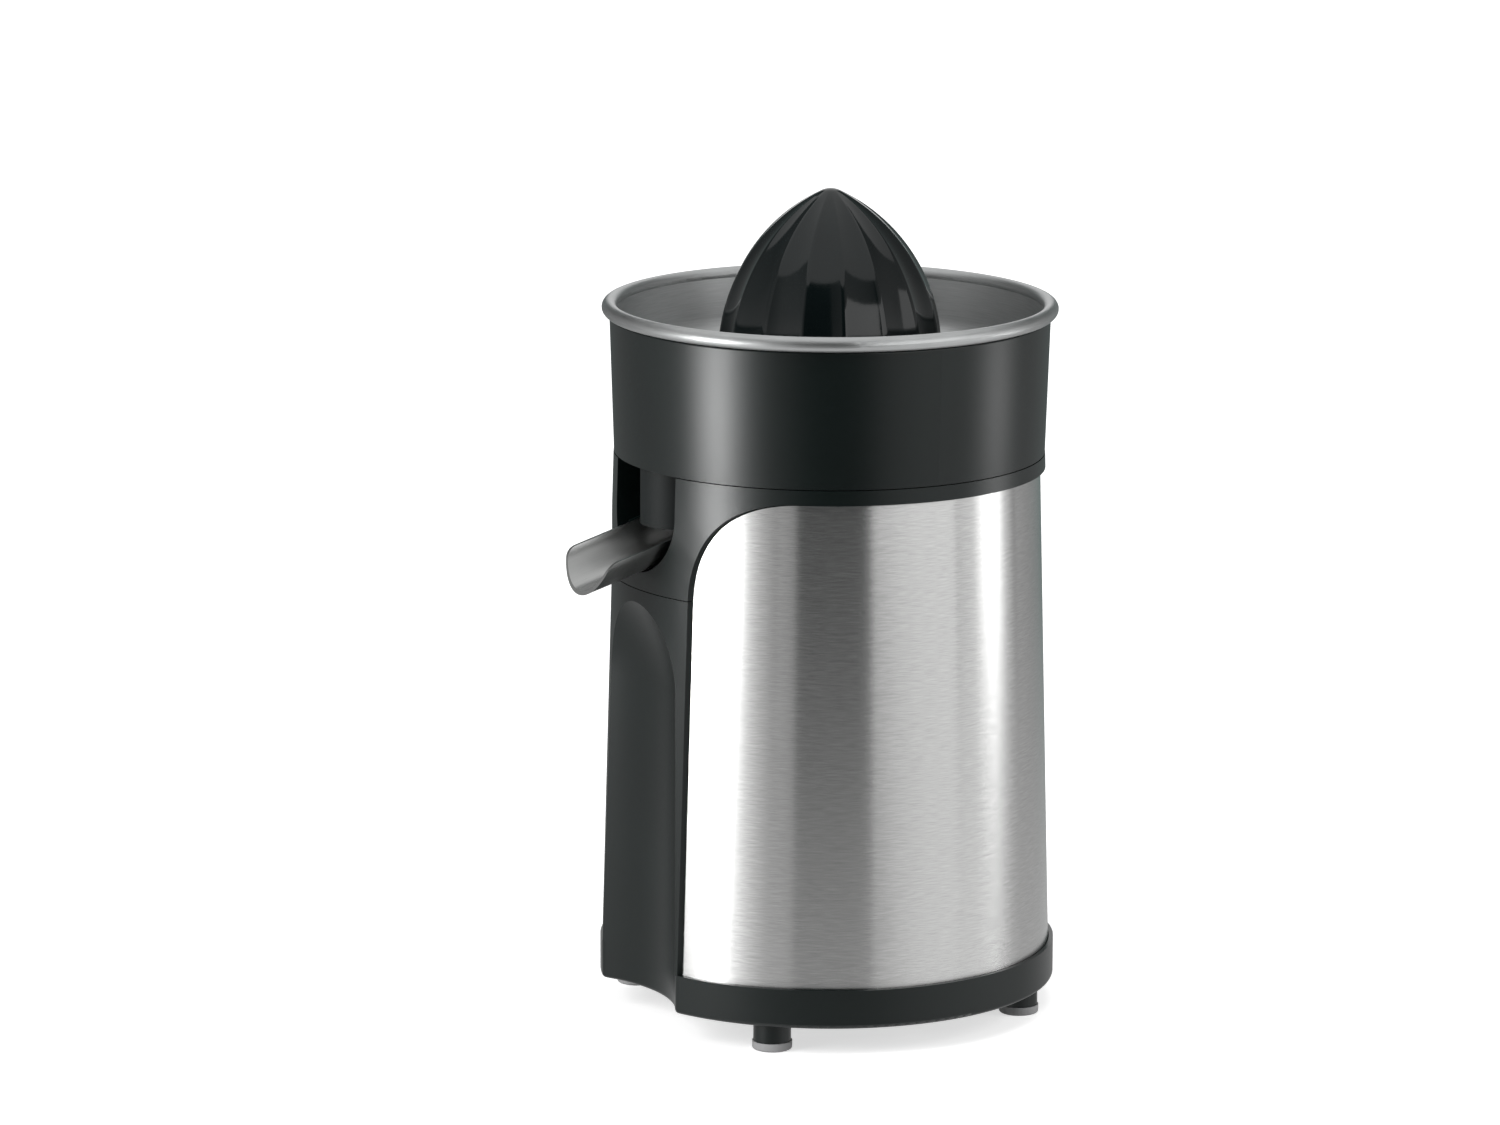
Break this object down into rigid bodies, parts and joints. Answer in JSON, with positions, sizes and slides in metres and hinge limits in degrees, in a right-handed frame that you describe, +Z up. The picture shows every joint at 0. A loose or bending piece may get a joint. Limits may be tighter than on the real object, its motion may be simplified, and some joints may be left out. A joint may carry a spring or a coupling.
{
  "type": "citrus press juicer",
  "caption": "Electric citrus juicer: tapered brushed steel body with a black front, arched hollow for a glass, tilting spout, strainer bowl and fluted reamer.",
  "frame": {"origin": "on the body's axis, on the surface that the foot pads stand on", "axes": "+Z up along the spindle, -Y towards the spout and the glass hollow, +X to the left of someone facing the spout"},
  "size_m": [0.1614, 0.1806, 0.2916],
  "materials": {
    "light_rubber": "satin",
    "dark_rubber": "satin",
    "black_plastic": "satin",
    "gloss_black_plastic": "polished",
    "inner_plastic": "matte",
    "gear_plastic": "satin",
    "brushed_steel": "brushed",
    "bright_steel": "satin",
    "stack_steel": "matte",
    "screw_steel": "satin",
    "bronze": "satin",
    "winding": "satin"
  },
  "bodies": {
    "body": {"foot_pads": "light_rubber", "foot_legs": "black_plastic", "bottom_cover": "black_plastic", "base_ring": "black_plastic", "steel_wrap": "brushed_steel", "inner_shell": "inner_plastic", "lower_front_panel": "black_plastic", "upper_housing": "black_plastic", "spindle_bush": "bronze", "shaft_seal": "dark_rubber", "idler_axle": "bright_steel", "gear_case": "inner_plastic", "gear_cover": "inner_plastic", "output_bush": "bronze", "vibration_grommets": "dark_rubber", "stator_stack": "stack_steel", "stator_coils": "winding", "motor_bushes": "bronze", "motor_bracket": "bright_steel", "lever_pin": "bright_steel", "microswitch": "inner_plastic", "cord_inlet": "dark_rubber", "terminal_block": "gear_plastic", "cover_screws": "screw_steel", "base_screws": "screw_steel", "deck_screws": "screw_steel", "gearbox_screws": "screw_steel", "motor_screws": "screw_steel"},
    "motor_rotor": {"motor_shaft": "bright_steel", "motor_pinion": "bright_steel", "rotor": "stack_steel", "cooling_fan": "inner_plastic"},
    "idler": {"idler_gear": "gear_plastic"},
    "output": {"output_gear": "gear_plastic", "retaining_ring": "bright_steel", "return_spring": "bright_steel"},
    "spindle": {"spindle": "bright_steel", "thrust_washer": "bright_steel"},
    "reamer": {"reamer": "gloss_black_plastic"},
    "collector": {"juice_collector": "black_plastic", "collector_tray": "black_plastic", "collector_chimney": "black_plastic", "collector_pipe": "black_plastic"},
    "strainer": {"strainer_bowl": "brushed_steel"},
    "spout": {"spout": "brushed_steel", "spout_cradle": "black_plastic"},
    "switch_lever": {"switch_lever": "gear_plastic"}
  },
  "joints": [
    {"name": "motor_spin", "type": "hinge", "parent": "body", "child": "motor_rotor", "pos_m": [0, 0, 0.1], "axis": [0, 0, 1], "continuous": true},
    {"name": "idler_spin", "type": "hinge", "parent": "body", "child": "idler", "pos_m": [0, 0.03, 0.15], "axis": [0, 0, 1], "continuous": true},
    {"name": "reamer_spin", "type": "hinge", "parent": "body", "child": "output", "pos_m": [0, 0, 0.16], "axis": [0, 0, 1], "continuous": true},
    {"name": "press", "type": "slide", "parent": "output", "child": "spindle", "axis": [0, 0, 1], "range_m": [-0.003, 0], "stiffness_N_per_m": 2000, "springref_m": 0.005, "deforming": ["return_spring"]},
    {"name": "reamer_lift", "type": "slide", "parent": "spindle", "child": "reamer", "axis": [0, 0, 1], "range_m": [0, 0.18]},
    {"name": "collector_lift", "type": "slide", "parent": "body", "child": "collector", "axis": [0, 0, 1], "range_m": [0, 0.063]},
    {"name": "strainer_lift", "type": "slide", "parent": "collector", "child": "strainer", "axis": [0, 0, 1], "range_m": [0, 0.054]},
    {"name": "spout_tilt", "type": "hinge", "parent": "body", "child": "spout", "pos_m": [0, -0.06, 0.176], "axis": [-1, 0, 0], "range_deg": [0, 30]},
    {"name": "lever_tilt", "type": "hinge", "parent": "body", "child": "switch_lever", "pos_m": [0, 0.024, 0.18], "axis": [1, 0, 0], "range_deg": [0, 13.75]}
  ],
  "couplings": [
    {"joint": "idler_spin", "follows": "motor_spin", "ratio": -0.25},
    {"joint": "reamer_spin", "follows": "motor_spin", "ratio": 0.0625},
    {"joint": "collector_lift", "follows": "reamer_lift", "ratio": 0.35},
    {"joint": "strainer_lift", "follows": "reamer_lift", "ratio": 0.3},
    {"joint": "lever_tilt", "follows": "press", "rad_per_m": -80}
  ]
}
